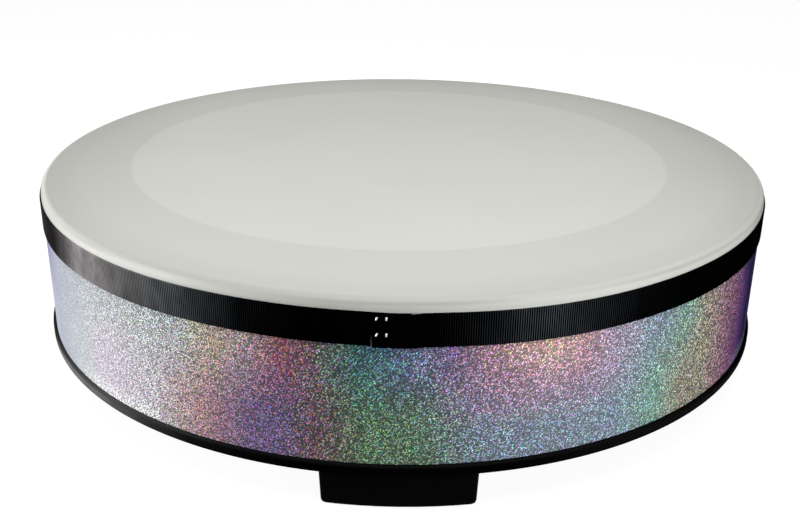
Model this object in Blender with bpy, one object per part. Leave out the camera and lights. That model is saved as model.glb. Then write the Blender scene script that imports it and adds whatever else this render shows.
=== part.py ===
"""Low floor drum for group playing: a wide shallow shell with a glued, pre-tensioned film head,
a ribbed fabric band over the head's skirt, a prismatic film wrap, an edge trim and three feet.

Frame: metres, +Z up, origin on the floor under the drum's centre, front of the drum towards -Y.
Azimuth is measured about +Z from the front, positive towards +X.
"""

import math

import bmesh
import bpy
from mathutils import Matrix, Vector

MM = 0.001

# Driving dimensions
SHELL_DIAMETER = 558.8 * MM
SHELL_WALL = 7.2 * MM
HEAD_TOP_Z = 144.0 * MM
TRIM_BOTTOM_Z = 26.7 * MM
FIT_GAP = 0.3 * MM
RING_STEPS = 72
SHARP_ANGLE = 35.0

# Shell
SHELL_OUTER = SHELL_DIAMETER / 2
SHELL_INNER = SHELL_OUTER - SHELL_WALL
EDGE_ROUND = 4.6 * MM
INNER_EDGE_ROUND = SHELL_WALL - EDGE_ROUND
EDGE_STEPS = 4
SHELL_CHAMFER = 0.5 * MM

# Head: an outer film that turns down over the shell's edge, and a smaller disc laminated under it,
# a little off the drum's axis
FILM = 0.35 * MM
CENTRE_PLY = 0.25 * MM
CENTRE_PLY_RADIUS = 212.8 * MM
CENTRE_PLY_SHIFT = (-2.9 * MM, 6.9 * MM)
FILM_INNER = SHELL_OUTER + FIT_GAP
FILM_OUTER = FILM_INNER + FILM
FILM_UNDER_Z = HEAD_TOP_Z - FILM
SHELL_TOP_Z = FILM_UNDER_Z - FIT_GAP
EDGE_CENTRE_R = SHELL_OUTER - EDGE_ROUND
EDGE_CENTRE_Z = SHELL_TOP_Z - EDGE_ROUND
SKIRT_BOTTOM_Z = HEAD_TOP_Z - 25.0 * MM

# Fabric band, whose outer end laps over its inner end at the front
BAND_WIDTH = 21.6 * MM
BAND_THICK = 0.9 * MM
BAND_TOP_Z = HEAD_TOP_Z - 7.5 * MM
BAND_INNER = FILM_OUTER + FIT_GAP
BAND_STEP = BAND_THICK + FIT_GAP
LAP_FACE = BAND_INNER + BAND_STEP + BAND_THICK
BAND_INNER_END = 1.25
BAND_OUTER_END = -3.3
BAND_RAMP_START = 2.9
BAND_RAMP_END = 1.5
FINE_STEP = 1.25
FINE_REACH = 10.0

# Staples that hold the lap, with crowns along the band
STAPLE_CROWN = 6.5 * MM
STAPLE_WIRE = 0.6 * MM
STAPLE_WIRE_WIDTH = 1.7 * MM
STAPLE_BEND = 0.9 * MM
STAPLE_LEG = 8.2 * MM
STAPLE_AZIMUTH = -2.25
STAPLE_DROPS = {"staple_upper": 3.1 * MM, "staple_lower": 13.3 * MM}

# Prismatic film wrap, butted at the back, whose lower edge is inside the trim
WRAP_THICK = 0.3 * MM
WRAP_INNER = SHELL_OUTER + FIT_GAP
WRAP_BOTTOM_Z = TRIM_BOTTOM_Z + 3.0 * MM
WRAP_TOP_Z = SKIRT_BOTTOM_Z - 0.5 * MM
WRAP_SEAM = 0.1

# Rubber channel pressed over the shell's lower edge
TRIM_WALL = 2.2 * MM
TRIM_BASE = 2.0 * MM
TRIM_HEIGHT = 8.4 * MM
TRIM_ROUND = 3.0 * MM
TRIM_ROUND_STEPS = 3
TRIM_LIP_ROUND = 0.8 * MM
TRIM_OUTER_FACE = WRAP_INNER + WRAP_THICK + FIT_GAP
TRIM_OUTER = TRIM_OUTER_FACE + TRIM_WALL
TRIM_INNER_FACE = SHELL_INNER - FIT_GAP
TRIM_INNER = TRIM_INNER_FACE - TRIM_WALL
TRIM_TOP_Z = TRIM_BOTTOM_Z + TRIM_HEIGHT
SHELL_BOTTOM_Z = TRIM_BOTTOM_Z + TRIM_BASE + FIT_GAP

# Moulded rubber feet: a block under the rim and a flange screwed to the shell's inside
FOOT_AZIMUTHS = {"front": 0.0, "rear_right": 120.0, "rear_left": 240.0}
FOOT_TOP_Z = TRIM_BOTTOM_Z - FIT_GAP
FOOT_OUTER = 277.5 * MM
FOOT_DEPTH = 34.0 * MM
FOOT_DRAFT = 1.0 * MM
FOOT_WIDTH = 101.2 * MM
FOOT_ROUND = 3.6 * MM
FOOT_STEPS = 8
FLANGE_OUTER = SHELL_INNER - 2 * FIT_GAP
FLANGE_WALL = 9.4 * MM
FLANGE_INNER = FLANGE_OUTER - FLANGE_WALL
FLANGE_RELIEF = TRIM_INNER - 2 * FIT_GAP
FLANGE_RELIEF_TOP_Z = TRIM_TOP_Z + FIT_GAP
FLANGE_TOP_Z = TRIM_BOTTOM_Z + 40.0 * MM
FLANGE_WIDTH = 76.0 * MM
FLANGE_ROOT_Z = 12.0 * MM
FLANGE_ROUND = 2.0 * MM

# Pan-head screws with flat washers, two in each foot
SCREW_SPREAD = 5.0
SCREW_Z = TRIM_BOTTOM_Z + 24.0 * MM
SCREW_RADIUS = 2.0 * MM
SCREW_LENGTH = 15.4 * MM
SCREW_POINT = 2.0 * MM
SCREW_HEAD_RADIUS = 4.2 * MM
SCREW_HEAD_HEIGHT = 2.6 * MM
SCREW_HEAD_CROWN = 0.9 * MM
RECESS_SPAN = 4.4 * MM
RECESS_WIDTH = 0.9 * MM
RECESS_DEPTH = 1.5 * MM
WASHER_OUTER = 5.5 * MM
WASHER_THICK = 1.0 * MM
SCREW_SIDES = 12

# Colours, roughness and metallic values
FINISHES = {
    "shell": ((0.16, 0.12, 0.09), 0.75, 0.0),
    "wrap": ((0.42, 0.42, 0.50), 0.30, 0.7),
    "head": ((0.64, 0.65, 0.61), 0.40, 0.0),
    "band": ((0.012, 0.012, 0.013), 0.55, 0.0),
    "trim": ((0.018, 0.018, 0.019), 0.45, 0.0),
    "foot": ((0.010, 0.010, 0.011), 0.60, 0.0),
    "steel": ((0.62, 0.62, 0.64), 0.28, 1.0),
}


def clear_scene():
    for thing in list(bpy.data.objects):
        bpy.data.objects.remove(thing)


def finish_material(slot):
    """The Principled material of one finish, made once."""
    found = bpy.data.materials.get(slot)
    if found:
        return found
    colour, roughness, metallic = FINISHES[slot]
    made = bpy.data.materials.new(slot)
    made.use_nodes = True
    shader = made.node_tree.nodes["Principled BSDF"]
    shader.inputs["Base Color"].default_value = (*colour, 1.0)
    shader.inputs["Roughness"].default_value = roughness
    shader.inputs["Metallic"].default_value = metallic
    return made


def new_object(name, mesh, slot=None):
    thing = bpy.data.objects.new(name, mesh)
    bpy.context.scene.collection.objects.link(thing)
    if slot:
        mesh.materials.clear()
        mesh.materials.append(finish_material(slot))
    return thing


def smooth_sides(mesh):
    mesh.shade_smooth()
    mesh.set_sharp_from_angle(angle=math.radians(SHARP_ANGLE))
    return mesh


def mesh_from(name, bm):
    """Closes a bmesh into a mesh with outward faces and smooth round sides."""
    bmesh.ops.recalc_face_normals(bm, faces=bm.faces)
    mesh = bpy.data.meshes.new(name)
    bm.to_mesh(mesh)
    bm.free()
    return smooth_sides(mesh)


def around(azimuth, radius, z):
    """The point at an azimuth in degrees, a radius and a height."""
    a = math.radians(azimuth)
    return Vector((radius * math.sin(a), -radius * math.cos(a), z))


def arc(centre_r, centre_z, radius, start, end, steps):
    """Points (r, z) on an arc, with angles in degrees from outward towards up."""
    turns = [math.radians(start + (end - start) * i / steps) for i in range(steps + 1)]
    return [(centre_r + radius * math.cos(t), centre_z + radius * math.sin(t)) for t in turns]


def turned(name, profile, steps=RING_STEPS):
    """A mesh turned about Z from a closed profile of (r, z) points."""
    merge = 0.001 * MM
    bm = bmesh.new()
    ring = [bm.verts.new(around(0.0, r, z)) for r, z in profile]
    edges = [bm.edges.new((ring[i - 1], ring[i])) for i in range(len(ring))]
    bmesh.ops.spin(bm, geom=ring + edges, cent=(0, 0, 0), axis=(0, 0, 1), angle=math.tau, steps=steps)
    bmesh.ops.remove_doubles(bm, verts=bm.verts, dist=merge)
    bmesh.ops.dissolve_degenerate(bm, edges=bm.edges, dist=merge)
    return mesh_from(name, bm)


def swept(name, sections):
    """A closed mesh through equal sections, each a list of points, capped at both ends."""
    bm = bmesh.new()
    rings = [[bm.verts.new(p) for p in section] for section in sections]
    count = len(rings[0])
    for here, there in zip(rings, rings[1:]):
        for i in range(count):
            bm.faces.new((here[i - 1], here[i], there[i], there[i - 1]))
    bm.faces.new(rings[0])
    bm.faces.new(rings[-1])
    return mesh_from(name, bm)


def hide_cutter(thing):
    thing.hide_render = True
    thing.display_type = "WIRE"
    return thing


def boolean(thing, operation, other):
    modifier = thing.modifiers.new(operation.lower(), "BOOLEAN")
    modifier.operation = operation
    modifier.object = other
    return modifier


def bevel(thing, width, segments=3, angle=40.0):
    modifier = thing.modifiers.new("rounded_edges", "BEVEL")
    modifier.width = width
    modifier.segments = segments
    modifier.limit_method = "ANGLE"
    modifier.angle_limit = math.radians(angle)
    return modifier


def applied_mesh(thing):
    """The evaluated mesh of an object, which is then removed."""
    bpy.context.view_layer.update()
    ready = thing.evaluated_get(bpy.context.evaluated_depsgraph_get())
    mesh = bpy.data.meshes.new_from_object(ready)
    bpy.data.objects.remove(thing)
    return mesh


def facing_out(azimuth, radius, z):
    """The placement at an azimuth whose own +Z points away from the drum's axis."""
    turn = around(azimuth, 1.0, 0.0).to_track_quat("Z", "Y").to_matrix().to_4x4()
    return Matrix.Translation(around(azimuth, radius, z)) @ turn


def make_shell():
    profile = [(SHELL_OUTER - SHELL_CHAMFER, SHELL_BOTTOM_Z), (SHELL_OUTER, SHELL_BOTTOM_Z + SHELL_CHAMFER)]
    profile += arc(EDGE_CENTRE_R, EDGE_CENTRE_Z, EDGE_ROUND, 0, 90, EDGE_STEPS)
    inner_round_r = SHELL_INNER + INNER_EDGE_ROUND
    profile += arc(inner_round_r, SHELL_TOP_Z - INNER_EDGE_ROUND, INNER_EDGE_ROUND, 90, 180, 1)[1:]
    profile += [(SHELL_INNER, SHELL_BOTTOM_Z + SHELL_CHAMFER), (SHELL_INNER + SHELL_CHAMFER, SHELL_BOTTOM_Z)]
    return new_object("shell", turned("shell", profile), "shell")


def make_head_film():
    profile = [(0.0, FILM_UNDER_Z), (0.0, HEAD_TOP_Z)]
    profile += arc(EDGE_CENTRE_R, EDGE_CENTRE_Z, FILM_OUTER - EDGE_CENTRE_R, 90, 0, EDGE_STEPS)
    profile += [(FILM_OUTER, SKIRT_BOTTOM_Z), (FILM_INNER, SKIRT_BOTTOM_Z)]
    profile += arc(EDGE_CENTRE_R, EDGE_CENTRE_Z, FILM_INNER - EDGE_CENTRE_R, 0, 90, EDGE_STEPS)
    return new_object("head_film", turned("head_film", profile), "head")


def make_centre_ply():
    top = FILM_UNDER_Z - FIT_GAP
    bottom = top - CENTRE_PLY
    profile = [(0.0, bottom), (0.0, top), (CENTRE_PLY_RADIUS, top), (CENTRE_PLY_RADIUS, bottom)]
    ply = new_object("head_centre_ply", turned("head_centre_ply", profile), "head")
    ply.location.xy = CENTRE_PLY_SHIFT
    return ply


def strip_section(azimuth, inner, thick, bottom, top):
    """The four corners of an upright strip's section at one azimuth."""
    corners = [(inner, bottom), (inner + thick, bottom), (inner + thick, top), (inner, top)]
    return [around(azimuth, r, z) for r, z in corners]


def make_wrap():
    step = 360.0 / RING_STEPS
    inside = [-180.0 + step * i for i in range(1, RING_STEPS)]
    azimuths = [-180.0 + WRAP_SEAM] + inside + [180.0 - WRAP_SEAM]
    sections = [strip_section(a, WRAP_INNER, WRAP_THICK, WRAP_BOTTOM_Z, WRAP_TOP_Z) for a in azimuths]
    return new_object("shell_wrap", swept("shell_wrap", sections), "wrap")


def band_radius(azimuth):
    """Inner radius of the band, which climbs one thickness to lap over its own start."""
    turned_by = azimuth + 360.0
    share = (BAND_RAMP_START - turned_by) / (BAND_RAMP_START - BAND_RAMP_END)
    share = min(1.0, max(0.0, share))
    return BAND_INNER + BAND_STEP * share * share * (3.0 - 2.0 * share)


def band_azimuths():
    """From the inner end at the front, left round the drum, to the outer end that laps it."""
    coarse = 360.0 / RING_STEPS
    azimuths = []
    azimuth = BAND_INNER_END
    while azimuth > BAND_OUTER_END - 360.0:
        azimuths.append(azimuth)
        near_front = azimuth > -FINE_REACH + FINE_STEP / 2 or azimuth < FINE_REACH - 360.0 + FINE_STEP / 2
        azimuth -= FINE_STEP if near_front else coarse
    return azimuths + [BAND_OUTER_END - 360.0]


def make_band():
    bottom = BAND_TOP_Z - BAND_WIDTH
    sections = [strip_section(a, band_radius(a), BAND_THICK, bottom, BAND_TOP_Z) for a in band_azimuths()]
    return new_object("trim_band", swept("trim_band", sections), "band")


def staple_outline():
    """A staple seen along its wire's width: x along the crown, y outward from the band's face."""
    half = STAPLE_CROWN / 2
    inner_bend = STAPLE_BEND - STAPLE_WIRE
    right = arc(half - STAPLE_BEND, -STAPLE_BEND, STAPLE_BEND, 0, 90, 3)
    right_inner = arc(half - STAPLE_BEND, -STAPLE_BEND, inner_bend, 90, 0, 3)
    tip = -STAPLE_LEG
    outer = [(half, tip)] + right + [(-x, y) for x, y in reversed(right)] + [(-half, tip)]
    leg = half - STAPLE_WIRE
    inner = [(-leg, tip)] + [(-x, y) for x, y in reversed(right_inner)] + right_inner + [(leg, tip)]
    return outer + inner


def staple_place(drop, gap):
    """Where a staple's crown sits, a little proud of the lap's face."""
    return facing_out(STAPLE_AZIMUTH, LAP_FACE + gap + STAPLE_WIRE, BAND_TOP_Z - drop)


def make_staple(name, drop):
    outline = staple_outline()
    half_width = STAPLE_WIRE_WIDTH / 2
    sections = [[Vector((x, side, y)) for x, y in outline] for side in (-half_width, half_width)]
    staple = new_object(name, swept(name, sections), "steel")
    staple.matrix_world = staple_place(drop, FIT_GAP)
    return staple


def make_staple_holes():
    """Slots for the staples' legs through the band, the skirt and part of the shell."""
    long_side = STAPLE_WIRE_WIDTH + 2 * FIT_GAP
    short_side = STAPLE_WIRE + 2 * FIT_GAP
    depth = STAPLE_LEG + FIT_GAP
    bm = bmesh.new()
    for drop in STAPLE_DROPS.values():
        for side in (-1, 1):
            offset = side * (STAPLE_CROWN - STAPLE_WIRE) / 2
            box = Matrix.Diagonal((short_side, long_side, depth, 1.0))
            shift = Matrix.Translation((offset, 0, -depth / 2))
            bmesh.ops.create_cube(bm, size=1.0, matrix=staple_place(drop, 0.0) @ shift @ box)
    return hide_cutter(new_object("staple_holes", mesh_from("staple_holes", bm)))


def make_edge_trim():
    lip = TRIM_LIP_ROUND
    base_z = TRIM_BOTTOM_Z + TRIM_ROUND
    lip_z = TRIM_TOP_Z - lip
    profile = arc(TRIM_OUTER - TRIM_ROUND, base_z, TRIM_ROUND, -90, 0, TRIM_ROUND_STEPS)
    profile += arc(TRIM_OUTER - lip, lip_z, lip, 0, 90, 1)
    profile += [(TRIM_OUTER_FACE, TRIM_TOP_Z), (TRIM_OUTER_FACE, TRIM_BOTTOM_Z + TRIM_BASE)]
    profile += [(TRIM_INNER_FACE, TRIM_BOTTOM_Z + TRIM_BASE), (TRIM_INNER_FACE, TRIM_TOP_Z)]
    profile += arc(TRIM_INNER + lip, lip_z, lip, 90, 180, 1)
    profile += arc(TRIM_INNER + TRIM_ROUND, base_z, TRIM_ROUND, 180, 270, TRIM_ROUND_STEPS)
    return new_object("bottom_edge_trim", turned("bottom_edge_trim", profile), "trim")


def arc_block(name, profile, width, low_width=None):
    """A block swept along the drum's curve from a profile of (r, z), narrower at its foot if asked."""
    low = min(z for r, z in profile)
    high = max(z for r, z in profile)
    sections = []
    for i in range(FOOT_STEPS + 1):
        share = 2.0 * i / FOOT_STEPS - 1.0
        section = []
        for r, z in profile:
            span = width
            if low_width:
                span = low_width + (width - low_width) * (z - low) / (high - low)
            section.append(around(math.degrees(share * span / 2 / FOOT_OUTER), r, z))
        sections.append(section)
    return swept(name, sections)


def foot_block():
    inner = FOOT_OUTER - FOOT_DEPTH
    profile = [
        (FOOT_OUTER - FOOT_DRAFT, 0.0),
        (FOOT_OUTER, FOOT_TOP_Z),
        (inner, FOOT_TOP_Z),
        (inner + FOOT_DRAFT, 0.0),
    ]
    return arc_block("foot", profile, FOOT_WIDTH, FOOT_WIDTH - 2 * FOOT_DRAFT)


def foot_flange():
    profile = [
        (FLANGE_INNER, FLANGE_ROOT_Z),
        (FLANGE_RELIEF, FLANGE_ROOT_Z),
        (FLANGE_RELIEF, FLANGE_RELIEF_TOP_Z),
        (FLANGE_OUTER, FLANGE_RELIEF_TOP_Z),
        (FLANGE_OUTER, FLANGE_TOP_Z),
        (FLANGE_INNER, FLANGE_TOP_Z),
    ]
    return arc_block("foot_flange", profile, FLANGE_WIDTH)


def foot_mesh(holes):
    """The foot at the front: block and flange in one moulding, drilled for its screws."""
    block = new_object("foot_block", foot_block())
    bevel(block, FOOT_ROUND)
    flange = hide_cutter(new_object("foot_flange", foot_flange()))
    bevel(flange, FLANGE_ROUND, segments=2, angle=60.0)
    boolean(block, "UNION", flange)
    boolean(block, "DIFFERENCE", holes)
    mesh = applied_mesh(block)
    bpy.data.objects.remove(flange)
    return smooth_sides(mesh)


def screw_mesh():
    """A pan-head screw along +Z with the underside of its head at the origin, and a cross recess."""
    crown = SCREW_HEAD_CROWN
    profile = [(0.0, -SCREW_HEAD_HEIGHT), (SCREW_HEAD_RADIUS - crown, -SCREW_HEAD_HEIGHT)]
    profile += [(SCREW_HEAD_RADIUS, crown - SCREW_HEAD_HEIGHT), (SCREW_HEAD_RADIUS, 0.0)]
    profile += [(SCREW_RADIUS, 0.0), (SCREW_RADIUS, SCREW_LENGTH - SCREW_POINT), (0.0, SCREW_LENGTH)]
    screw = new_object("screw", turned("screw", profile, SCREW_SIDES))
    slots = []
    for size in ((RECESS_SPAN, RECESS_WIDTH), (RECESS_WIDTH, RECESS_SPAN)):
        bm = bmesh.new()
        depth = 2 * RECESS_DEPTH
        place = Matrix.Translation((0, 0, -SCREW_HEAD_HEIGHT))
        bmesh.ops.create_cube(bm, size=1.0, matrix=place @ Matrix.Diagonal((*size, depth, 1.0)))
        slot = hide_cutter(new_object("recess", mesh_from("recess", bm)))
        boolean(screw, "DIFFERENCE", slot)
        slots.append(slot)
    mesh = applied_mesh(screw)
    for slot in slots:
        bpy.data.objects.remove(slot)
    return smooth_sides(mesh)


def washer_mesh():
    hole = SCREW_RADIUS + FIT_GAP
    profile = [(hole, 0.0), (WASHER_OUTER, 0.0), (WASHER_OUTER, WASHER_THICK), (hole, WASHER_THICK)]
    return turned("washer", profile, SCREW_SIDES)


def make_screw_holes(name, azimuths):
    """Round cutters from inside the flange to the screws' depth in the shell."""
    start = FLANGE_INNER - FLANGE_WALL
    end = FLANGE_INNER + SCREW_LENGTH - WASHER_THICK
    radius = SCREW_RADIUS + FIT_GAP
    bm = bmesh.new()
    for azimuth in azimuths:
        bmesh.ops.create_cone(
            bm,
            cap_ends=True,
            segments=SCREW_SIDES,
            radius1=radius,
            radius2=radius,
            depth=end - start,
            matrix=facing_out(azimuth, (start + end) / 2, SCREW_Z),
        )
    return hide_cutter(new_object(name, mesh_from(name, bm)))


def screw_azimuths(foot_azimuth):
    return {"left": foot_azimuth - SCREW_SPREAD, "right": foot_azimuth + SCREW_SPREAD}


def make_feet():
    """Three feet with two screws and two washers each."""
    pattern = make_screw_holes("foot_screw_holes", screw_azimuths(0.0).values())
    foot_shape = foot_mesh(pattern)
    bpy.data.objects.remove(pattern)
    screw_shape = screw_mesh()
    washer_shape = washer_mesh()
    washer_seat = FLANGE_INNER - FIT_GAP - WASHER_THICK
    screw_seat = washer_seat - FIT_GAP
    for place, azimuth in FOOT_AZIMUTHS.items():
        foot = new_object(f"foot_{place}", foot_shape, "foot")
        foot.rotation_euler.z = math.radians(azimuth)
        for side, at in screw_azimuths(azimuth).items():
            washer = new_object(f"foot_washer_{place}_{side}", washer_shape, "steel")
            washer.matrix_world = facing_out(at, washer_seat, SCREW_Z)
            screw = new_object(f"foot_screw_{place}_{side}", screw_shape, "steel")
            screw.matrix_world = facing_out(at, screw_seat, SCREW_Z)


def main():
    clear_scene()
    shell = make_shell()
    head = make_head_film()
    make_centre_ply()
    make_wrap()
    band = make_band()
    make_edge_trim()
    make_feet()

    for name, drop in STAPLE_DROPS.items():
        make_staple(name, drop)
    staple_holes = make_staple_holes()
    for pierced in (band, head, shell):
        boolean(pierced, "DIFFERENCE", staple_holes)
    all_screws = [at for foot in FOOT_AZIMUTHS.values() for at in screw_azimuths(foot).values()]
    boolean(shell, "DIFFERENCE", make_screw_holes("shell_screw_holes", all_screws))


main()
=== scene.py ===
"""The dressed floor drum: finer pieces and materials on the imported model, with its stage, lights and camera.

Metres, +Z up, front of the drum towards -Y. Azimuth is measured about +Z from the front, positive to +X.
"""

import math

import bmesh
import bpy
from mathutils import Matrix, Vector


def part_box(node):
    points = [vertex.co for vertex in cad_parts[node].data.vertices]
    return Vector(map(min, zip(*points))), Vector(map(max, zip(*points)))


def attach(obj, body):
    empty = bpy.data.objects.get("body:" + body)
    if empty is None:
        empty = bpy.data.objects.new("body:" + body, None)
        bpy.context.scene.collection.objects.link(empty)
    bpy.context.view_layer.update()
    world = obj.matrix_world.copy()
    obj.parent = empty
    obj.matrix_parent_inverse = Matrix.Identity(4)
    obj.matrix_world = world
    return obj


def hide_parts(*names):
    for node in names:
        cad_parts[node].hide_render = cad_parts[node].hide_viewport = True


MM = 0.001

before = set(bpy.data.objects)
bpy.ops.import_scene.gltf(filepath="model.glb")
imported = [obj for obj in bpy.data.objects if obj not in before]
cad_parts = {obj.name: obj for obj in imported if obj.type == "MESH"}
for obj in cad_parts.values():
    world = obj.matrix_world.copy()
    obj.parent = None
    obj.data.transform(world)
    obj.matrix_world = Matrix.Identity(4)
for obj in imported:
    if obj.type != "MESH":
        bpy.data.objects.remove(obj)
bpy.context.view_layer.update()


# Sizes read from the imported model

film_low, film_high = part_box("head_film")
ply_low, ply_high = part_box("head_centre_ply")
band_low, band_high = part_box("trim_band")
wrap_low, wrap_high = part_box("shell_wrap")
trim_low, trim_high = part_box("bottom_edge_trim")
shell_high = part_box("shell")[1]

FILM_OUTER = film_high.x
HEAD_TOP = film_high.z
SKIRT_BOTTOM = film_low.z
PLY_RADIUS = (ply_high.x - ply_low.x) / 2
PLY_CENTRE = (ply_low + ply_high) / 2
BAND_OUTER = band_high.x
BAND_TOP = band_high.z
BAND_WIDTH = band_high.z - band_low.z
LAP_FACE = -band_low.y
WRAP_OUTER = wrap_high.x
TRIM_OUTER = trim_high.x
SHELL_OUTER = shell_high.x

# Sizes of the finer pieces, with their azimuths in degrees

RING_STEPS = 288
SHARP_ANGLE = 35.0
FILM = 0.35 * MM
RIM_ROUND = 5.25 * MM
SHELL_WALL = 7.2 * MM
BAND_THICK = 0.9 * MM
LAP_GAP = 0.3 * MM
RIBS_ROUND = 1227
RIB_DEPTH = 0.28 * MM
RIB_COLUMNS = 4
SELVEDGE = 0.7 * MM
BAND_INNER_END = 1.25
BAND_OUTER_END = -3.3
BAND_RAMP_START = 2.9
BAND_RAMP_END = 1.5
END_SKEW = 0.25
END_SKEW_REACH = 2.0
WAVER_RISE = 0.6 * MM
WAVER_RISE_AT = -20.0
WAVER_FALL = 0.85 * MM
WAVER_FALL_AT = 20.0
WAVER_SPAN = 15.0
LAP_DROOP = 0.5 * MM
LAP_DROOP_REACH = 6.0
STAPLE_AZIMUTH = -2.2
STAPLE_CROWN = 6.9 * MM
STAPLE_WIRE = 0.6 * MM
STAPLE_WIRE_WIDTH = 2.1 * MM

# Lamps: name, place, target, width and height, and watts

LAMPS = (
    ("overhead", (0.0, -0.50, 1.15), (0.0, -0.05, 0.14), (0.7, 0.7), 11.2),
    ("left_softbox", (-1.10, 0.10, 0.12), (0.0, 0.0, 0.12), (1.0, 0.2), 18.0),
    ("right_softbox", (0.80, -0.80, 0.12), (0.0, 0.0, 0.12), (0.7, 0.2), 6.4),
    ("back_softbox", (0.30, 1.05, 0.08), (0.0, 0.0, 0.08), (1.2, 0.1), 4.5),
)

# Camera, with its lens in millimetres and its turns about X, Y and Z in degrees

CAMERA_LENS = 46.98
CAMERA_PLACE = (0.0, -0.8139, 0.3908)
CAMERA_TURNS = (67.668, -0.613, 0.342)


def srgb(red, green, blue):
    """A linear colour from the usual 0 to 255 values."""
    shares = [c / 255 for c in (red, green, blue)]
    return tuple(s / 12.92 if s <= 0.04045 else ((s + 0.055) / 1.055) ** 2.4 for s in shares)


# Hues of the wrap, and where they lie by azimuth under the band and above the trim; the indigo and ink at the
# right end and the darker lilac and slate round the far left are painted shade

PALETTE = {
    "silver": srgb(182, 186, 187),
    "pale_silver": srgb(200, 196, 203),
    "blush": srgb(196, 187, 198),
    "sheen": srgb(218, 218, 219),
    "cool_silver": srgb(172, 175, 179),
    "lilac_silver": srgb(147, 150, 160),
    "dusk_lilac": srgb(99, 95, 136),
    "rose_silver": srgb(180, 165, 167),
    "cream": srgb(186, 178, 162),
    "sand": srgb(194, 170, 160),
    "wine": srgb(150, 107, 114),
    "violet": srgb(128, 116, 143),
    "orchid": srgb(152, 122, 158),
    "slate": srgb(116, 118, 119),
    "teal": srgb(90, 125, 123),
    "moss": srgb(105, 126, 106),
    "blue": srgb(112, 123, 146),
    "steel": srgb(127, 136, 147),
    "pink": srgb(174, 146, 150),
    "mauve": srgb(152, 143, 157),
    "sea_green": srgb(121, 145, 137),
    "olive": srgb(131, 129, 118),
    "rose": srgb(126, 108, 113),
    "plum": srgb(106, 81, 104),
    "indigo": srgb(62, 50, 84),
    "ink": srgb(24, 28, 48),
}

UPPER_COLOURS = [
    (-180, "silver"), (-140, "mauve"), (-115, "sea_green"), (-85, "dusk_lilac"), (-70, "dusk_lilac"),
    (-60, "lilac_silver"), (-47, "cool_silver"), (-38, "silver"), (-29, "silver"), (-24, "cream"),
    (-20, "rose_silver"), (-15, "wine"), (-10, "slate"), (-5, "teal"), (1, "blue"), (6, "violet"),
    (12, "pink"), (18, "sand"), (23, "pink"), (28, "mauve"), (35, "steel"), (40, "sea_green"), (45, "olive"),
    (50, "rose"), (56, "plum"), (60, "indigo"), (64, "ink"), (67, "indigo"), (72, "blue"),
    (115, "sea_green"), (145, "pink"), (180, "silver"),
]

LOWER_COLOURS = [
    (-180, "silver"), (-150, "violet"), (-125, "olive"), (-105, "mauve"), (-85, "slate"), (-75, "slate"),
    (-68, "lilac_silver"), (-61, "lilac_silver"), (-50, "cool_silver"), (-43, "blush"),
    (-35, "pale_silver"), (-30, "rose_silver"), (-25, "pink"), (-19, "violet"), (-14, "violet"),
    (-10, "rose"), (-5, "moss"), (2, "moss"), (10, "steel"), (28, "steel"), (35, "sea_green"), (41, "olive"),
    (46, "olive"), (51, "rose"), (56, "plum"), (61, "indigo"), (64, "ink"), (67, "indigo"), (73, "violet"),
    (112, "steel"), (140, "mauve"), (180, "silver"),
]

# How much orchid lies over the wrap's middle height, and how much painted sheen lies along its foot, by
# azimuth

ORCHID_VEIL = [
    (-180, 0.0), (-27, 0.0), (-20, 0.2), (-14, 0.1), (-8, 0.0), (3, 0.0), (10, 0.28), (16, 0.4), (26, 0.15),
    (34, 0.0), (180, 0.0),
]

LOW_SHEEN = [
    (-180, 0.0), (-54, 0.0), (-46, 0.6), (-40, 0.75), (-35, 0.4), (-29, 0.0), (54, 0.0), (60, 0.07),
    (64, 0.06), (68, 0.0), (180, 0.0),
]

# How strong, how tinted and how rare the wrap's painted glints are, by azimuth

GLINT = [
    (-180, 4.0), (-45, 3.2), (-22, 3.2), (-12, 5.4), (6, 5.2), (18, 4.0), (38, 4.2), (46, 5.6), (60, 5.6),
    (180, 4.0),
]

GLINT_TINT = [
    (-180, 0.12), (-45, 0.12), (-22, 0.3), (-11, 0.6), (-4, 0.42), (12, 0.35), (33, 0.16), (44, 0.28),
    (54, 0.28), (70, 0.12), (180, 0.12),
]

GLINT_RARITY = [
    (-180, 4.0), (-75, 4.0), (-45, 1.5), (-24, 1.5), (-14, 4.0), (180, 4.0),
]

# Painted shade and painted highlight of the film over the edge and on its skirt, by azimuth

EDGE_SHADE = [
    (-180, 0.8), (-90, 0.32), (-70, 0.38), (-64, 0.58), (-54, 0.67), (-46, 0.74), (-40, 0.92), (-31, 1.06),
    (-22, 0.88), (-8, 0.655), (6, 0.64), (16, 0.83), (27, 0.72), (38, 0.61), (46, 0.63), (58, 0.65),
    (66, 0.48), (90, 0.4), (180, 0.8),
]

SKIRT_SHADE = [
    (-180, 1.0), (-90, 0.42), (-66, 0.44), (-58, 0.72), (-46, 1.12), (-31, 1.34), (-22, 1.2), (-8, 0.88),
    (3, 0.97), (15, 1.04), (27, 1.04), (38, 0.92), (50, 0.9), (57, 0.84), (63, 0.6), (90, 0.4), (180, 1.0),
]

# Painted sheen of the ribbon and of the trim's face, and painted light and shadow along the trim's top lip, as
# grey levels by azimuth

RIBBON_PAINTED_SHEEN = [
    (-180, 0.01), (-75, 0.008), (-58, 0.01), (-53, 0.065), (-49, 0.25), (-45, 0.23), (-37, 0.105),
    (-30, 0.08), (-25, 0.028), (-20, 0.004), (-12, 0.0004), (3, 0.0006), (7, 0.0022), (12, 0.009),
    (16, 0.024), (21, 0.019), (25, 0.009), (31, 0.002), (40, 0.0006), (75, 0.0006), (110, 0.008),
    (180, 0.01),
]

TRIM_PAINTED_SHEEN = [
    (-180, 0.006), (-105, 0.006), (-82, 0.02), (-70, 0.09), (-58, 0.16), (-47, 0.14), (-40, 0.08),
    (-34, 0.03), (-28, 0.008), (-20, 0.003), (-12, 0.0008), (15, 0.0012), (30, 0.005), (55, 0.008),
    (180, 0.006),
]

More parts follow.
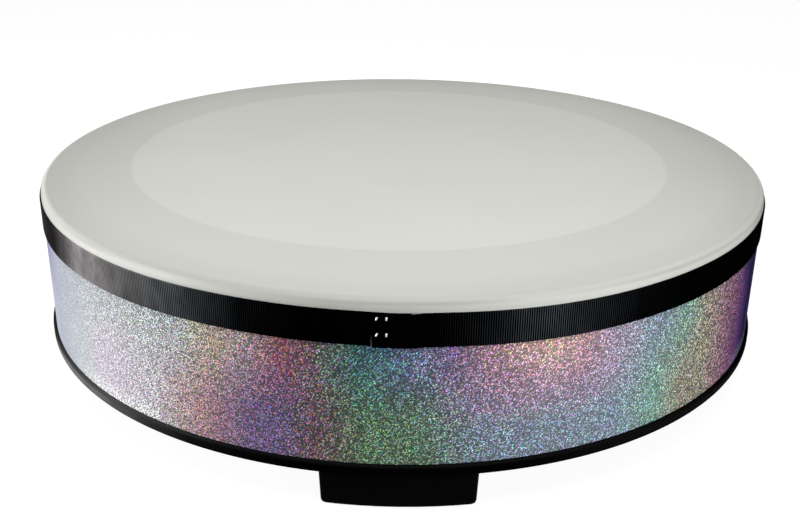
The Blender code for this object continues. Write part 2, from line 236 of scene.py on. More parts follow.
TRIM_LIP_PAINTED_LIGHT = [
    (-180, 0.005), (-90, 0.006), (-70, 0.02), (-55, 0.05), (-42, 0.06), (-35, 0.037), (-29, 0.021),
    (-24, 0.01), (-19, 0.005), (5, 0.005), (30, 0.0045), (55, 0.0015), (90, 0.003), (180, 0.005),
]

# Where a look begins or ends round the drum, as shares of a turn from the back

CALM_LEFT_START = (0.295, 0.315)
CALM_LEFT_END = (0.322, 0.43)
CALM_RIGHT_START = (0.652, 0.676)
CALM_RIGHT_END = (0.677, 0.69)
FAINT_RIBS_START = (0.295, 0.335)
FAINT_RIBS_END = (0.385, 0.465)
WARM_RIBBON_END = (0.37, 0.41)
COOL_RIBBON_START = (0.39, 0.44)

# Limits between which most of a noise lies

NOISE_SPREAD = (0.3, 0.7)

# Tilt in degrees and shift in metres of each layer of the wrap's dashes

DASH_LAYERS = ((38.0, 0.0), (-47.0, 0.313))


# Node helpers


def new_material(name):
    """A material with only a Principled shader and an output, and its node tree."""
    material = bpy.data.materials.new(name)
    material.use_nodes = True
    return material, material.node_tree


def shader_of(tree):
    """A material's Principled shader."""
    return tree.nodes["Principled BSDF"]


def add(tree, kind, settings=None, inputs=None):
    """A node with its settings and unlinked inputs; a socket given as an input is linked."""
    made = tree.nodes.new("ShaderNode" + kind)
    for key, value in (settings or {}).items():
        setattr(made, key, value)
    for key, value in (inputs or {}).items():
        if isinstance(value, bpy.types.NodeSocket):
            tree.links.new(value, made.inputs[key])
        else:
            made.inputs[key].default_value = value
    return made


def math_node(tree, operation, *values):
    """The value of a math node on sockets or numbers."""
    return add(tree, "Math", {"operation": operation}, dict(enumerate(values))).outputs[0]


def vector_node(tree, operation, first, second):
    """The vector of a vector math node on sockets or triples of numbers."""
    return add(tree, "VectorMath", {"operation": operation}, {0: first, 1: second}).outputs["Vector"]


def smooth_range(tree, value, low, high, to_low=0.0, to_high=1.0):
    """A smooth step of a value between two limits."""
    made = add(tree, "MapRange", {"interpolation_type": "SMOOTHSTEP"}, {"Value": value})
    for socket, number in zip(("From Min", "From Max", "To Min", "To Max"), (low, high, to_low, to_high)):
        made.inputs[socket].default_value = number
    return made.outputs["Result"]


def mix_colour(tree, share, first, second, blend="MIX"):
    """Two colours mixed by a share, each a socket or a plain value."""
    # The colours of a Mix node are its inputs 6 and 7 and its output 2
    made = add(tree, "Mix", {"data_type": "RGBA", "blend_type": blend})
    for index, value in ((0, share), (6, first), (7, second)):
        if isinstance(value, bpy.types.NodeSocket):
            tree.links.new(value, made.inputs[index])
        else:
            made.inputs[index].default_value = value if index == 0 else (*value, 1.0)
    return made.outputs[2]


def times(tree, first, second):
    """Two colours multiplied."""
    return mix_colour(tree, 1.0, first, second, "MULTIPLY")


def as_grey(tree, level):
    """A level as a grey colour."""
    return add(tree, "CombineXYZ", inputs={"X": level, "Y": level, "Z": level}).outputs["Vector"]


def colour_ramp(tree, share, stops):
    """A ramp through (place, colour) stops."""
    made = add(tree, "ValToRGB", inputs={"Fac": share})
    ramp = made.color_ramp
    while len(ramp.elements) < len(stops):
        ramp.elements.new(0.5)
    for element, (place, colour) in zip(ramp.elements, stops):
        element.position = place
        element.color = (*colour, 1.0)
    return made.outputs["Color"]


def colour_by_azimuth(tree, share, named):
    """A ramp round the drum through (azimuth, palette name) stops."""
    return colour_ramp(tree, share, [((azimuth + 180) / 360, PALETTE[name]) for azimuth, name in named])


def grey_by_azimuth(tree, share, levels):
    """A ramp round the drum through (azimuth, grey level) stops."""
    return colour_ramp(tree, share, [((azimuth + 180) / 360, (level,) * 3) for azimuth, level in levels])


def noise(tree, vector, scale, detail=2.0, roughness=0.5):
    """The value of a noise texture."""
    inputs = {"Vector": vector, "Scale": scale, "Detail": detail, "Roughness": roughness}
    return add(tree, "TexNoise", inputs=inputs).outputs["Fac"]


def bump(tree, height, distance, strength):
    """Bends the shader's normal by a height."""
    inputs = {"Height": height, "Distance": distance, "Strength": strength}
    link_shader(tree, "Normal", add(tree, "Bump", inputs=inputs).outputs["Normal"])


def object_point(tree):
    """The object coordinates and their three separate values."""
    point = add(tree, "TexCoord").outputs["Object"]
    split = add(tree, "SeparateXYZ", inputs={"Vector": point})
    return point, split.outputs["X"], split.outputs["Y"], split.outputs["Z"]


def distance_from_axis(tree, point, centre):
    """Distance from an upright axis through a centre in plan."""
    plan = vector_node(tree, "MULTIPLY", point, (1.0, 1.0, 0.0))
    apart = add(tree, "VectorMath", {"operation": "DISTANCE"}, {0: plan, 1: (*centre, 0.0)})
    return apart.outputs["Value"]


def unrolled(tree, radius):
    """Azimuth as a share of a turn from the back, height, and the surface unrolled flat in metres."""
    _, x, y, z = object_point(tree)
    azimuth = math_node(tree, "ARCTAN2", x, math_node(tree, "MULTIPLY", y, -1.0))
    along = math_node(tree, "MULTIPLY", azimuth, radius)
    flat = add(tree, "CombineXYZ", inputs={"X": along, "Y": z}).outputs["Vector"]
    share = math_node(tree, "MULTIPLY_ADD", azimuth, 0.5 / math.pi, 0.5)
    return share, z, flat


def seen_share(tree):
    """1 for rays that show what they meet, straight, off gloss or through film, and 0 for light."""
    path = add(tree, "LightPath")
    seen = math_node(tree, "MAXIMUM", path.outputs["Is Camera Ray"], path.outputs["Is Glossy Ray"])
    return math_node(tree, "MAXIMUM", seen, path.outputs["Is Transmission Ray"])


def set_shader(tree, **values):
    """Sets constant shader values, with underscores for the spaces in their names."""
    for key, value in values.items():
        shader_of(tree).inputs[key.replace("_", " ")].default_value = value


def link_shader(tree, name, socket):
    """Feeds one of the shader's values from a socket."""
    tree.links.new(socket, shader_of(tree).inputs[name])


# Materials


def rim_shade(tree, radius, z):
    """Painted shade of the head near its rim, darker up to the bend, then painted shade and highlight by
    azimuth over the bend and skirt.
    """
    rim_zone = 36.0 * MM
    nearing_grey = 0.93
    folding_grey = 0.84
    bend = FILM_OUTER - RIM_ROUND
    nearing = smooth_range(tree, radius, FILM_OUTER - rim_zone, bend, 1.0, nearing_grey)
    folding = smooth_range(tree, radius, bend - 1.0 * MM, bend + 0.5 * RIM_ROUND, 1.0, folding_grey)
    shade = as_grey(tree, math_node(tree, "MULTIPLY", nearing, folding))
    share = unrolled(tree, FILM_OUTER)[0]
    over_edge = smooth_range(tree, radius, bend + 0.6 * RIM_ROUND, bend + 0.92 * RIM_ROUND)
    shade = mix_colour(tree, over_edge, shade, grey_by_azimuth(tree, share, EDGE_SHADE))
    on_skirt = smooth_range(tree, z, HEAD_TOP - RIM_ROUND, HEAD_TOP - 0.45 * RIM_ROUND, 1.0, 0.0)
    return mix_colour(tree, on_skirt, shade, grey_by_azimuth(tree, share, SKIRT_SHADE))


def head_material():
    """Milky satin film: paler where the centre ply doubles it, with painted shade at the sides and painted
    shade and highlight over the edge.
    """
    ring_colour = srgb(204, 205, 199)
    disc_colour = srgb(212, 213, 206)
    cloud_tint = (0.97, 0.975, 0.965)
    painted_side_shade = (0.9, 0.9, 0.9)
    side_start = 170.0 * MM
    side_end = 270.0 * MM
    ply_blur = 1.4 * MM
    material, tree = new_material("milky_film")
    point, x, _, z = object_point(tree)
    radius = distance_from_axis(tree, point, (0.0, 0.0))
    from_ply = distance_from_axis(tree, point, PLY_CENTRE.xy)
    outside = smooth_range(tree, from_ply, PLY_RADIUS - ply_blur, PLY_RADIUS + ply_blur)
    base = mix_colour(tree, outside, disc_colour, ring_colour)
    cloud = noise(tree, point, scale=7.0, detail=4.0, roughness=0.55)
    base = mix_colour(tree, smooth_range(tree, cloud, *NOISE_SPREAD), times(tree, base, cloud_tint), base)
    # Painted shade: the ring darker towards the left and right sides
    side = smooth_range(tree, math_node(tree, "ABSOLUTE", x), side_start, side_end)
    base = mix_colour(tree, side, base, times(tree, base, painted_side_shade))
    link_shader(tree, "Base Color", times(tree, base, rim_shade(tree, radius, z)))
    link_shader(tree, "Roughness", smooth_range(tree, cloud, 0.2, 0.8, 0.55, 0.65))
    set_shader(tree, Specular_IOR_Level=0.04)
    bump(tree, noise(tree, point, scale=900.0, detail=3.0), distance=0.02 * MM, strength=0.4)
    return material


def dash_layer(tree, flat, tilt, shift):
    """Short embossed dashes at one tilt: how much of a dash is here, and its own three random values."""
    length = 1.5 * MM
    width = 0.6 * MM
    dash_edge = (0.34, 0.44)
    moved = vector_node(tree, "ADD", flat, (shift, shift, 0.0))
    turn = {"Vector": moved, "Angle": math.radians(tilt)}
    tilted = add(tree, "VectorRotate", {"rotation_type": "Z_AXIS"}, turn).outputs["Vector"]
    grid = vector_node(tree, "MULTIPLY", tilted, (1 / length, 1 / width, 1.0))
    dash = add(tree, "TexVoronoi", {"voronoi_dimensions": "2D"}, {"Vector": grid, "Scale": 1.0})
    inside = smooth_range(tree, dash.outputs["Distance"], *dash_edge, 1.0, 0.0)
    chance = add(tree, "SeparateColor", inputs={"Color": dash.outputs["Color"]})
    return inside, chance.outputs["Red"], chance.outputs["Green"], chance.outputs["Blue"]


def dash_colour(tree, hue, chances, tinting, glint, rarity):
    """The local hue turned, brightened into a painted glint and tinted by a dash's own random values."""
    hue_swing = 0.14
    usual_value = 1.42
    tint_value = 1.2
    first, second, third = chances
    usual = math_node(tree, "DIVIDE", 1.0, math_node(tree, "ADD", rarity, 1.0))
    above_usual = math_node(tree, "SUBTRACT", math_node(tree, "POWER", third, rarity), usual)
    spread = math_node(tree, "MULTIPLY", above_usual, glint)
    inputs = {
        "Color": hue,
        "Hue": math_node(tree, "MULTIPLY_ADD", first, 2 * hue_swing, 0.5 - hue_swing),
        "Saturation": 1.6,
        "Value": math_node(tree, "ADD", spread, usual_value),
    }
    # The raised value paints a glint into the dash's colour
    lit = add(tree, "HueSaturation", inputs=inputs).outputs["Color"]
    tint = add(tree, "CombineColor", {"mode": "HSV"}, {0: second, 1: tinting, 2: tint_value})
    return times(tree, lit, tint.outputs["Color"])


def wrap_hue(tree, share, z):
    """The wrap's local hue: by azimuth and height, with orchid at its middle and a painted sheen at its foot.
    """
    lower_reach = 18.0 * MM
    sheen_full = 3.0 * MM
    sheen_reach = 14.0 * MM
    upper = colour_by_azimuth(tree, share, UPPER_COLOURS)
    lower = colour_by_azimuth(tree, share, LOWER_COLOURS)
    height = smooth_range(tree, z, trim_high.z + lower_reach, band_low.z)
    hue = mix_colour(tree, height, lower, upper)
    # 4h(1 - h) is 1 at the middle height and 0 at both ends
    falling = math_node(tree, "SUBTRACT", 4.0, math_node(tree, "MULTIPLY", height, 4.0))
    middle = math_node(tree, "MULTIPLY", height, falling)
    veil = times(tree, grey_by_azimuth(tree, share, ORCHID_VEIL), as_grey(tree, middle))
    hue = mix_colour(tree, veil, hue, PALETTE["orchid"])
    # Painted sheen along the wrap's foot
    low = smooth_range(tree, z, trim_high.z + sheen_full, trim_high.z + sheen_reach, 1.0, 0.0)
    sheen = times(tree, grey_by_azimuth(tree, share, LOW_SHEEN), as_grey(tree, low))
    return mix_colour(tree, sheen, hue, PALETTE["sheen"])


def wrap_calm(tree, share):
    """How smooth the film looks: most towards both sides of the front, where its dashes fade."""
    left_most = 0.85
    right_most = 0.7
    left = smooth_range(tree, share, *CALM_LEFT_END, left_most, 0.0)
    left = math_node(tree, "MULTIPLY", left, smooth_range(tree, share, *CALM_LEFT_START))
    right = smooth_range(tree, share, *CALM_RIGHT_START, 0.0, right_most)
    right = math_node(tree, "MULTIPLY", right, smooth_range(tree, share, *CALM_RIGHT_END, 1.0, 0.0))
    return math_node(tree, "MAXIMUM", left, right)


def wrap_material():
    """Prismatic film: grey metal broken into small coloured dashes whose hues drift round the shell."""
    drift_reach = 0.012
    material, tree = new_material("prismatic_film")
    share, z, flat = unrolled(tree, WRAP_OUTER)
    drift = math_node(tree, "SUBTRACT", noise(tree, flat, scale=14.0), 0.5)
    share = math_node(tree, "MULTIPLY_ADD", drift, drift_reach, share)
    hue = wrap_hue(tree, share, z)
    tinting = grey_by_azimuth(tree, share, GLINT_TINT)
    glint = grey_by_azimuth(tree, share, GLINT)
    rarity = grey_by_azimuth(tree, share, GLINT_RARITY)
    ground = {"Color": hue, "Saturation": 0.12, "Value": 0.5}
    dashed = add(tree, "HueSaturation", inputs=ground).outputs["Color"]
    for tilt, shift in DASH_LAYERS:
        inside, *chances = dash_layer(tree, flat, tilt, shift)
        dashed = mix_colour(tree, inside, dashed, dash_colour(tree, hue, chances, tinting, glint, rarity))
    link_shader(tree, "Base Color", mix_colour(tree, wrap_calm(tree, share), dashed, hue))
    emboss = noise(tree, flat, scale=800.0)
    link_shader(tree, "Roughness", smooth_range(tree, emboss, *NOISE_SPREAD, 0.5, 0.62))
    set_shader(tree, Specular_IOR_Level=0.0)
    bump(tree, emboss, distance=0.05 * MM, strength=0.4)
    return material


def ribbon_ribs(tree, share):
    """Painted light on the rib crests and painted shade in the grooves, faint where the ribbon's painted sheen
    is strong at the left.
    """
    faint = 0.3
    turns = math_node(tree, "SUBTRACT", share, (BAND_INNER_END + 180.0) / 360.0)
    wave = math_node(tree, "COSINE", math_node(tree, "MULTIPLY", turns, math.tau * RIBS_ROUND))
    depth = smooth_range(tree, share, *FAINT_RIBS_END, faint, 1.0)
    depth = math_node(tree, "MAXIMUM", depth, smooth_range(tree, share, *FAINT_RIBS_START, 1.0, faint))
    crest = math_node(tree, "MULTIPLY", math_node(tree, "MINIMUM", wave, 0.0), 2.0)
    crest = math_node(tree, "MULTIPLY", crest, crest)
    return math_node(tree, "MULTIPLY_ADD", math_node(tree, "SUBTRACT", crest, 1.0), depth, 1.0)


def ribbon_tint(tree, share, base):
    """The ribbon's painted sheen, warmer at the left and cooler from there round to the right."""
    cool = (0.86, 1.0, 1.14)
    warm = (1.05, 0.97, 1.0)
    base = mix_colour(tree, smooth_range(tree, share, *COOL_RIBBON_START), base, times(tree, base, cool))
    return mix_colour(tree, smooth_range(tree, share, *WARM_RIBBON_END), times(tree, base, warm), base)


def cut_end(tree, share, z):
    """Where the ribbon's outer end gets its painted highlight, along its low part."""
    end_edge = (0.04, 0.12)
    low_full = 2.0 * MM
    low_reach = 8.0 * MM
    azimuth = math_node(tree, "MULTIPLY_ADD", share, 360.0, -180.0)
    beside = math_node(tree, "SUBTRACT", azimuth, BAND_OUTER_END - END_SKEW / 2)
    end = smooth_range(tree, math_node(tree, "ABSOLUTE", beside), *end_edge, 1.0, 0.0)
    low = smooth_range(tree, z, band_low.z + low_full, band_low.z + low_reach, 1.0, 0.0)
    return math_node(tree, "MULTIPLY", end, low)


def ribbon_material():
    """Black corded ribbon: painted sheen by azimuth on its rib crests, painted shade in the grooves and a
    painted highlight on its cut end.
    """
    cut_end_highlight = (0.12, 0.118, 0.112)
    blotch_stretch = (40.0, 25.0, 1.0)
    blotch_levels = (0.77, 1.23)
    material, tree = new_material("corded_ribbon")
    share, z, flat = unrolled(tree, BAND_OUTER)
    stretched = vector_node(tree, "MULTIPLY", flat, blotch_stretch)
    blotch_noise = noise(tree, stretched, scale=2.0, detail=4.0, roughness=0.6)
    blotch_level = smooth_range(tree, blotch_noise, *NOISE_SPREAD, *blotch_levels)
    lit = math_node(tree, "MULTIPLY", ribbon_ribs(tree, share), blotch_level)
    # Painted sheen: grey levels by azimuth, lighter on the rib crests, darker in the grooves, in blotches
    base = times(tree, grey_by_azimuth(tree, share, RIBBON_PAINTED_SHEEN), as_grey(tree, lit))
    base = ribbon_tint(tree, share, base)
    # Painted highlight along the low part of the ribbon's cut end
    link_shader(tree, "Base Color", mix_colour(tree, cut_end(tree, share, z), base, cut_end_highlight))
    link_shader(tree, "Roughness", smooth_range(tree, blotch_noise, *NOISE_SPREAD, 0.5, 0.62))
    set_shader(tree, Specular_IOR_Level=0.0)
    weave = {"Vector": flat, "Scale": 1200.0, "Distortion": 1.5}
    yarn = add(tree, "TexWave", {"bands_direction": "Y"}, weave).outputs["Fac"]
    bump(tree, yarn, distance=0.05 * MM, strength=0.5)
    return material


def edge_rubber_material():
    """Smooth black extrusion: a painted sheen on its face, and painted light and shadow along its top lip."""
    dull_tint = (0.8, 0.8, 0.8)
    lip_start = 2.2 * MM
    lip_full = 0.8 * MM
    material, tree = new_material("edge_rubber")
    share, z, flat = unrolled(tree, TRIM_OUTER)
    painted_sheen = grey_by_azimuth(tree, share, TRIM_PAINTED_SHEEN)
    mottle = noise(tree, flat, scale=60.0, detail=4.0)
    face = mix_colour(tree, smooth_range(tree, mottle, 0.35, 0.65), painted_sheen, times(tree, painted_sheen, dull_tint))
    # Painted light and shadow along the top lip: a dark line at the left, faintly lighter at the front
    on_lip = smooth_range(tree, z, trim_high.z - lip_start, trim_high.z - lip_full)
    lip = grey_by_azimuth(tree, share, TRIM_LIP_PAINTED_LIGHT)
    link_shader(tree, "Base Color", mix_colour(tree, on_lip, face, lip))
    link_shader(tree, "Roughness", smooth_range(tree, mottle, *NOISE_SPREAD, 0.42, 0.52))
    set_shader(tree, Specular_IOR_Level=0.0)
    bump(tree, noise(tree, flat, scale=1400.0), distance=0.04 * MM, strength=0.4)
    return material


def foot_rubber_material():
    """Matt black rubber with a fine moulded grain and faint scuffs."""
    black = (0.0009, 0.0009, 0.0009)
    scuffed = (0.002, 0.002, 0.002)
    material, tree = new_material("foot_rubber")
    point = object_point(tree)[0]
    mottle = noise(tree, point, scale=40.0, detail=4.0)
    scuffs = smooth_range(tree, mottle, 0.45, 0.8)
    link_shader(tree, "Base Color", mix_colour(tree, scuffs, black, scuffed))
    link_shader(tree, "Roughness", smooth_range(tree, mottle, *NOISE_SPREAD, 0.6, 0.7))
    set_shader(tree, Specular_IOR_Level=0.01)
    bump(tree, noise(tree, point, scale=1400.0), distance=0.06 * MM, strength=0.5)
    return material


def steel_material():
    """Bright steel with fine drawn scratches."""
    bright = (0.62, 0.62, 0.64)
    dull_tint = (0.8, 0.8, 0.8)
    material, tree = new_material("bright_steel")
    scratch = noise(tree, object_point(tree)[0], scale=2600.0)
    link_shader(tree, "Base Color", mix_colour(tree, scratch, bright, times(tree, bright, dull_tint)))
    link_shader(tree, "Roughness", smooth_range(tree, scratch, *NOISE_SPREAD, 0.22, 0.34))
    set_shader(tree, Metallic=1.0)
    bump(tree, scratch, distance=0.02 * MM, strength=0.3)
    return material


def fibre_material():
    """Pressed wood-fibre laminate of the shell's inside, with flecks and the wound plies' faint bands."""
    dark_brown = (0.11, 0.075, 0.05)
    light_brown = (0.21, 0.155, 0.11)
    fleck_brown = (0.30, 0.24, 0.18)
    fibre_stretch = (60.0, 420.0, 1.0)
    material, tree = new_material("fibre_laminate")
    flat = unrolled(tree, SHELL_OUTER)[2]
    stretched = vector_node(tree, "MULTIPLY", flat, fibre_stretch)
    fibres = noise(tree, stretched, scale=1.0, detail=5.0, roughness=0.65)
    flecks = smooth_range(tree, noise(tree, flat, scale=260.0, detail=3.0), 0.58, 0.75)
    base = mix_colour(tree, smooth_range(tree, fibres, *NOISE_SPREAD), dark_brown, light_brown)
    link_shader(tree, "Base Color", mix_colour(tree, flecks, base, fleck_brown))
    link_shader(tree, "Roughness", smooth_range(tree, fibres, *NOISE_SPREAD, 0.7, 0.85))
    bump(tree, fibres, distance=0.15 * MM, strength=0.6)
    return material


# Mesh helpers


def around(azimuth, radius, z):
    """The point at an azimuth in degrees, a radius and a height."""
    a = math.radians(azimuth)
    return Vector((radius * math.sin(a), -radius * math.cos(a), z))


def arc(centre_r, centre_z, radius, start, end, steps):
    """Points of an arc in a profile, from one angle to another in degrees."""
    turns = [math.radians(start + (end - start) * i / steps) for i in range(steps + 1)]
    return [(centre_r + radius * math.cos(t), centre_z + radius * math.sin(t)) for t in turns]


def finish_mesh(name, bm, material, sharp_angle=SHARP_ANGLE):
    """An object of the built mesh, smooth apart from its sharp edges."""
    bmesh.ops.recalc_face_normals(bm, faces=bm.faces)
    mesh = bpy.data.meshes.new(name)
    bm.to_mesh(mesh)
    bm.free()
    mesh.shade_smooth()
    mesh.set_sharp_from_angle(angle=math.radians(sharp_angle))
    mesh.materials.append(material)
    piece = bpy.data.objects.new(name, mesh)
    bpy.context.scene.collection.objects.link(piece)
    return piece


def turned(name, profile, material):
    """A closed piece turned about Z from a closed (r, z) profile; a point on the axis is one vertex."""
    bm = bmesh.new()
    hoops = []
    for r, z in profile:
        if r == 0.0:
            hoops.append([bm.verts.new((0.0, 0.0, z))] * RING_STEPS)
        else:
            hoops.append([bm.verts.new(around(360.0 * i / RING_STEPS, r, z)) for i in range(RING_STEPS)])
    for here, there in zip(hoops, hoops[1:] + hoops[:1]):
        for i in range(RING_STEPS):
            corners = list(dict.fromkeys((here[i - 1], here[i], there[i], there[i - 1])))
            if len(corners) > 2:
                bm.faces.new(corners)
    return finish_mesh(name, bm, material)


def swept(name, sections, material, sharp_angle=SHARP_ANGLE):
    """A closed piece through equal sections, each a list of points, capped at both ends."""
    bm = bmesh.new()
    rings = [[bm.verts.new(p) for p in section] for section in sections]
    count = len(rings[0])
    for here, there in zip(rings, rings[1:]):
        for i in range(count):
            bm.faces.new((here[i - 1], here[i], there[i], there[i - 1]))
    bm.faces.new(rings[0])
    bm.faces.new(rings[-1])
    return finish_mesh(name, bm, material, sharp_angle)


def belongs(piece, slot, *nodes):
    """The piece moves with the drum, stands for its nodes and hides them; its slot is not used."""
    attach(piece, "root")
    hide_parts(*nodes)
    return piece


# Pieces


def make_head(material):
    """The head's film: flat, bent over the shell's edge, and down as a skirt."""
    flat_steps = 8
    bend_steps = 14
    rim_r = FILM_OUTER - RIM_ROUND
    rim_z = HEAD_TOP - RIM_ROUND
    under = RIM_ROUND - FILM
    flat_rings = [rim_r * i / flat_steps for i in range(flat_steps)]
    profile = [(r, HEAD_TOP) for r in flat_rings]
    profile += arc(rim_r, rim_z, RIM_ROUND, 90, 0, bend_steps)
    profile += [(FILM_OUTER, SKIRT_BOTTOM), (FILM_OUTER - FILM, SKIRT_BOTTOM)]
    profile += arc(rim_r, rim_z, under, 0, 90, bend_steps)
    profile += [(r, HEAD_TOP - FILM) for r in reversed(flat_rings)]
    return belongs(turned("drum_head_film", profile, material), "head", "head_film")


def make_ply(material):
    """The disc under the film, a little off the drum's axis."""
    low, high = ply_low.z, ply_high.z
    profile = [(0.0, low), (0.0, high), (PLY_RADIUS, high), (PLY_RADIUS, low)]
    ply = turned("drum_head_centre_ply", profile, material)
    for corner in ply.data.vertices:
        corner.co.xy += PLY_CENTRE.xy
    return belongs(ply, "head", "head_centre_ply")


def make_wrap(material):
    """The film round the shell, with a narrow butt seam at the back."""
    half_seam = 0.1
    thick = 0.3 * MM
    between = [-180.0 + 360.0 * i / RING_STEPS for i in range(1, RING_STEPS)]
    azimuths = [-180.0 + half_seam] + between + [180.0 - half_seam]
    inner = WRAP_OUTER - thick
    low, high = wrap_low.z, wrap_high.z
    corners = [(inner, low), (WRAP_OUTER, low), (WRAP_OUTER, high), (inner, high)]
    sections = [[around(a, r, z) for r, z in corners] for a in azimuths]
    return belongs(swept("prismatic_wrap", sections, material), "wrap", "shell_wrap")


def eased(share):
    """A smooth step from 0 to 1."""
    share = min(1.0, max(0.0, share))
    return share * share * (3.0 - 2.0 * share)


def band_rise(azimuth):
    """How far the band stands out where it laps over its own start."""
    climbed = (BAND_RAMP_START - azimuth - 360.0) / (BAND_RAMP_START - BAND_RAMP_END)
    return (BAND_THICK + LAP_GAP) * eased(climbed)


def band_lift(azimuth):
    """How the hand-laid ribbon strays up and down, and droops at its lapped ends."""
    seen = (azimuth + 180.0) % 360.0 - 180.0
    rise = WAVER_RISE * math.exp(-((seen - WAVER_RISE_AT) / WAVER_SPAN) ** 2)
    fall = WAVER_FALL * math.exp(-((seen - WAVER_FALL_AT) / WAVER_SPAN) ** 2)
    start = eased((azimuth + LAP_DROOP_REACH) / LAP_DROOP_REACH)
    end = eased((LAP_DROOP_REACH - azimuth - 360.0) / LAP_DROOP_REACH)
    return rise - fall - LAP_DROOP * max(start, end)


def make_band(material):
    """The corded ribbon: each rib a rounded ridge across its width, between two plain selvedges."""
    selvedge_sink = 0.6 * RIB_DEPTH
    bevel_in = 0.3 * MM
    bevel_up = 0.25 * MM
    sharp_angle = 80.0
    step = 360.0 / RIBS_ROUND / RIB_COLUMNS
    last = BAND_OUTER_END - 360.0
    columns = int((BAND_INNER_END - last) / step)
    inner = BAND_OUTER - BAND_THICK
    sections = []
    for i in range(columns + 1):
        azimuth = BAND_INNER_END - step * i
        rise = band_rise(azimuth)
        ridge = RIB_DEPTH * (0.5 - 0.5 * math.cos(math.tau * i / RIB_COLUMNS))
        face = BAND_OUTER + rise - RIB_DEPTH + ridge
        edge = BAND_OUTER + rise - selvedge_sink
        back = inner + rise
        top = BAND_TOP + band_lift(azimuth)
        low = top - BAND_WIDTH
        skew = END_SKEW * eased((last + END_SKEW_REACH - azimuth) / END_SKEW_REACH)
        outline = [
            (back, low), (edge - bevel_in, low), (edge, low + bevel_up), (face, low + SELVEDGE),
            (face, top - SELVEDGE), (edge, top - bevel_up), (edge - bevel_in, top), (back, top),
        ]
        sections.append([around(azimuth + skew * ((z - low) / BAND_WIDTH - 0.5), r, z) for r, z in outline])
    return belongs(swept("corded_ribbon_band", sections, material, sharp_angle), "band", "trim_band")


def staple_path():
    """Wire of a driven staple: x along the crown, y out of the ribbon, the crown sunk between its ends."""
    leg_x = STAPLE_CROWN / 2 - STAPLE_WIRE / 2
    leg_end = -1.5 * MM
    proud = 0.35 * MM
    sunk = -0.8 * MM
    bend = 0.5 * MM
    bend_steps = 4
    left_slope = 0.3 * MM
    right_slope = 0.7 * MM
    right_crest = 0.15 * MM
    left_dip = [(-leg_x + bend + left_slope, sunk)]
    right_dip = [(leg_x - bend - right_slope, sunk), (leg_x - bend - right_crest, proud)]
    left = [(-leg_x, leg_end)] + arc(-leg_x + bend, proud - bend, bend, 180, 90, bend_steps)
    right = arc(leg_x - bend, proud - bend, bend, 90, 0, bend_steps) + [(leg_x, leg_end)]
    return left + left_dip + right_dip + right


def make_staple(name, node, material):
    """A flat wire staple driven into the lap, its left end leaning."""
    lean = 0.45
    sharp_angle = 40.0
    wire_outline = ((-1, -0.8), (-1, 0.8), (-0.6, 1), (0.6, 1), (1, 0.8), (1, -0.8), (0.6, -1), (-0.6, -1))
    low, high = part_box(node)
    height = (low.z + high.z) / 2
    path = staple_path()
    sections = []
    for i, (x, y) in enumerate(path):
        before = Vector(path[max(i - 1, 0)])
        after = Vector(path[min(i + 1, len(path) - 1)])
        along = (after - before).normalized()
        out = Vector((-along.y, along.x)) * STAPLE_WIRE / 2
        section = []
        for side, up in wire_outline:
            z = up * STAPLE_WIRE_WIDTH / 2
            across = x + side * out.x + (lean * z if x < 0 else 0.0)
            azimuth = STAPLE_AZIMUTH + math.degrees(across / LAP_FACE)
            section.append(around(azimuth, LAP_FACE + y + side * out.y, height + z))
        sections.append(section)
    return belongs(swept(name, sections, material, sharp_angle), "steel", node)


def make_trim(material):
    """The rubber channel, with rolled lips and a rounded underside."""
    wall = 2.2 * MM
    base = 2.0 * MM
    inner_gap = 0.3 * MM
    low_round = 3.0 * MM
    low_steps = 6
    lip = 0.8 * MM
    lip_steps = 5
    bottom, top = trim_low.z, trim_high.z
    inner = SHELL_OUTER - SHELL_WALL - inner_gap - wall
    profile = arc(TRIM_OUTER - low_round, bottom + low_round, low_round, -90, 0, low_steps)
    profile += arc(TRIM_OUTER - lip, top - lip, lip, 0, 90, lip_steps)
    profile += [(TRIM_OUTER - wall, top), (TRIM_OUTER - wall, bottom + base)]
    profile += [(inner + wall, bottom + base), (inner + wall, top)]
    profile += arc(inner + lip, top - lip, lip, 90, 180, lip_steps)
    profile += arc(inner + low_round, bottom + low_round, low_round, 180, 270, low_steps)
    return belongs(turned("rubber_edge_trim", profile, material), "trim", "bottom_edge_trim")


def dress_nodes(names, material):
    """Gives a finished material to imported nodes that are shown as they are."""
    for name in names:
        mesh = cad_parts[name].data
        mesh.materials.clear()
        mesh.materials.append(material)


# Stage, lights and camera


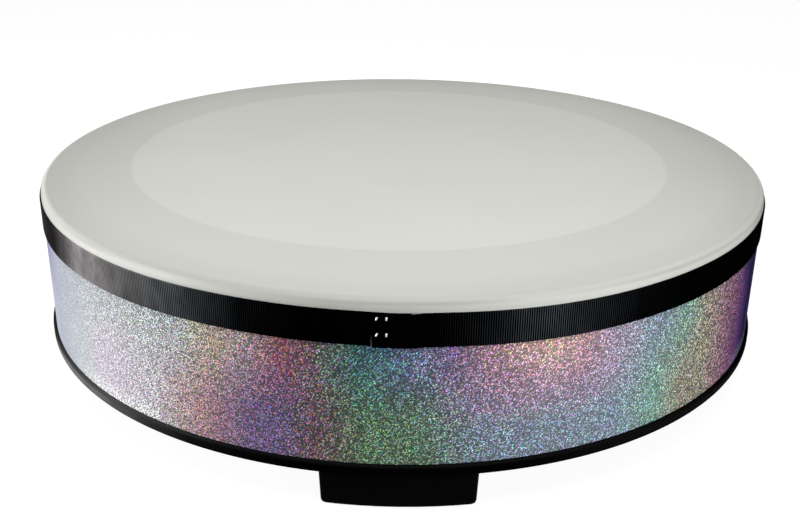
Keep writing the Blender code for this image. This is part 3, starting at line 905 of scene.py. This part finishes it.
def make_floor():
    """A wide pale floor that shows white and keeps the drum's shadow."""
    glow = 0.94
    pale = 0.16
    reach = 30.0
    drop = 0.2 * MM
    bm = bmesh.new()
    bmesh.ops.create_grid(bm, x_segments=2, y_segments=2, size=reach)
    material, tree = new_material("pale_floor")
    set_shader(tree, Base_Color=(pale, pale, pale, 1.0), Roughness=0.9, Specular_IOR_Level=0.0)
    set_shader(tree, Emission_Color=(1.0, 1.0, 1.0, 1.0))
    link_shader(tree, "Emission Strength", math_node(tree, "MULTIPLY", seen_share(tree), glow))
    floor = finish_mesh("studio_floor", bm, material)
    floor.location.z = -drop


def make_world():
    """An even soft surround, white where it is seen."""
    dim = 0.2
    world = bpy.data.worlds.new("studio")
    bpy.context.scene.world = world
    world.use_nodes = True
    tree = world.node_tree
    background = tree.nodes["Background"]
    background.inputs["Color"].default_value = (1.0, 1.0, 1.0, 1.0)
    strength = math_node(tree, "MULTIPLY_ADD", seen_share(tree), 1.0 - dim, dim)
    tree.links.new(strength, background.inputs["Strength"])


def make_lamp(name, place, target, size, watts):
    """A rectangular lamp at a place, facing its target."""
    lamp = bpy.data.lights.new(name, "AREA")
    lamp.shape = "RECTANGLE"
    lamp.size, lamp.size_y = size
    lamp.energy = watts
    holder = bpy.data.objects.new(name, lamp)
    bpy.context.scene.collection.objects.link(holder)
    holder.location = place
    holder.rotation_euler = (Vector(target) - Vector(place)).to_track_quat("-Z", "Y").to_euler()


def make_camera():
    """The photograph's viewpoint: in front, looking down on the head."""
    camera = bpy.data.cameras.new("camera")
    camera.sensor_width = 36.0
    camera.lens = CAMERA_LENS
    holder = bpy.data.objects.new("camera", camera)
    bpy.context.scene.collection.objects.link(holder)
    holder.location = CAMERA_PLACE
    holder.rotation_euler = [math.radians(turn) for turn in CAMERA_TURNS]
    bpy.context.scene.camera = holder


def main():
    """Dresses the drum, then sets its stage, lamps and camera."""
    bpy.context.scene.view_settings.view_transform = "Standard"
    film = head_material()
    make_head(film)
    make_ply(film)
    make_wrap(wrap_material())
    make_band(ribbon_material())
    make_trim(edge_rubber_material())
    steel = steel_material()
    make_staple("driven_staple_upper", "staple_upper", steel)
    make_staple("driven_staple_lower", "staple_lower", steel)
    dress_nodes(["shell"], fibre_material())
    dress_nodes(["foot_front", "foot_rear_left", "foot_rear_right"], foot_rubber_material())
    dress_nodes([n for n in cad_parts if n.startswith(("foot_screw", "foot_washer"))], steel)
    make_floor()
    make_world()
    for lamp in LAMPS:
        make_lamp(*lamp)
    make_camera()


main()
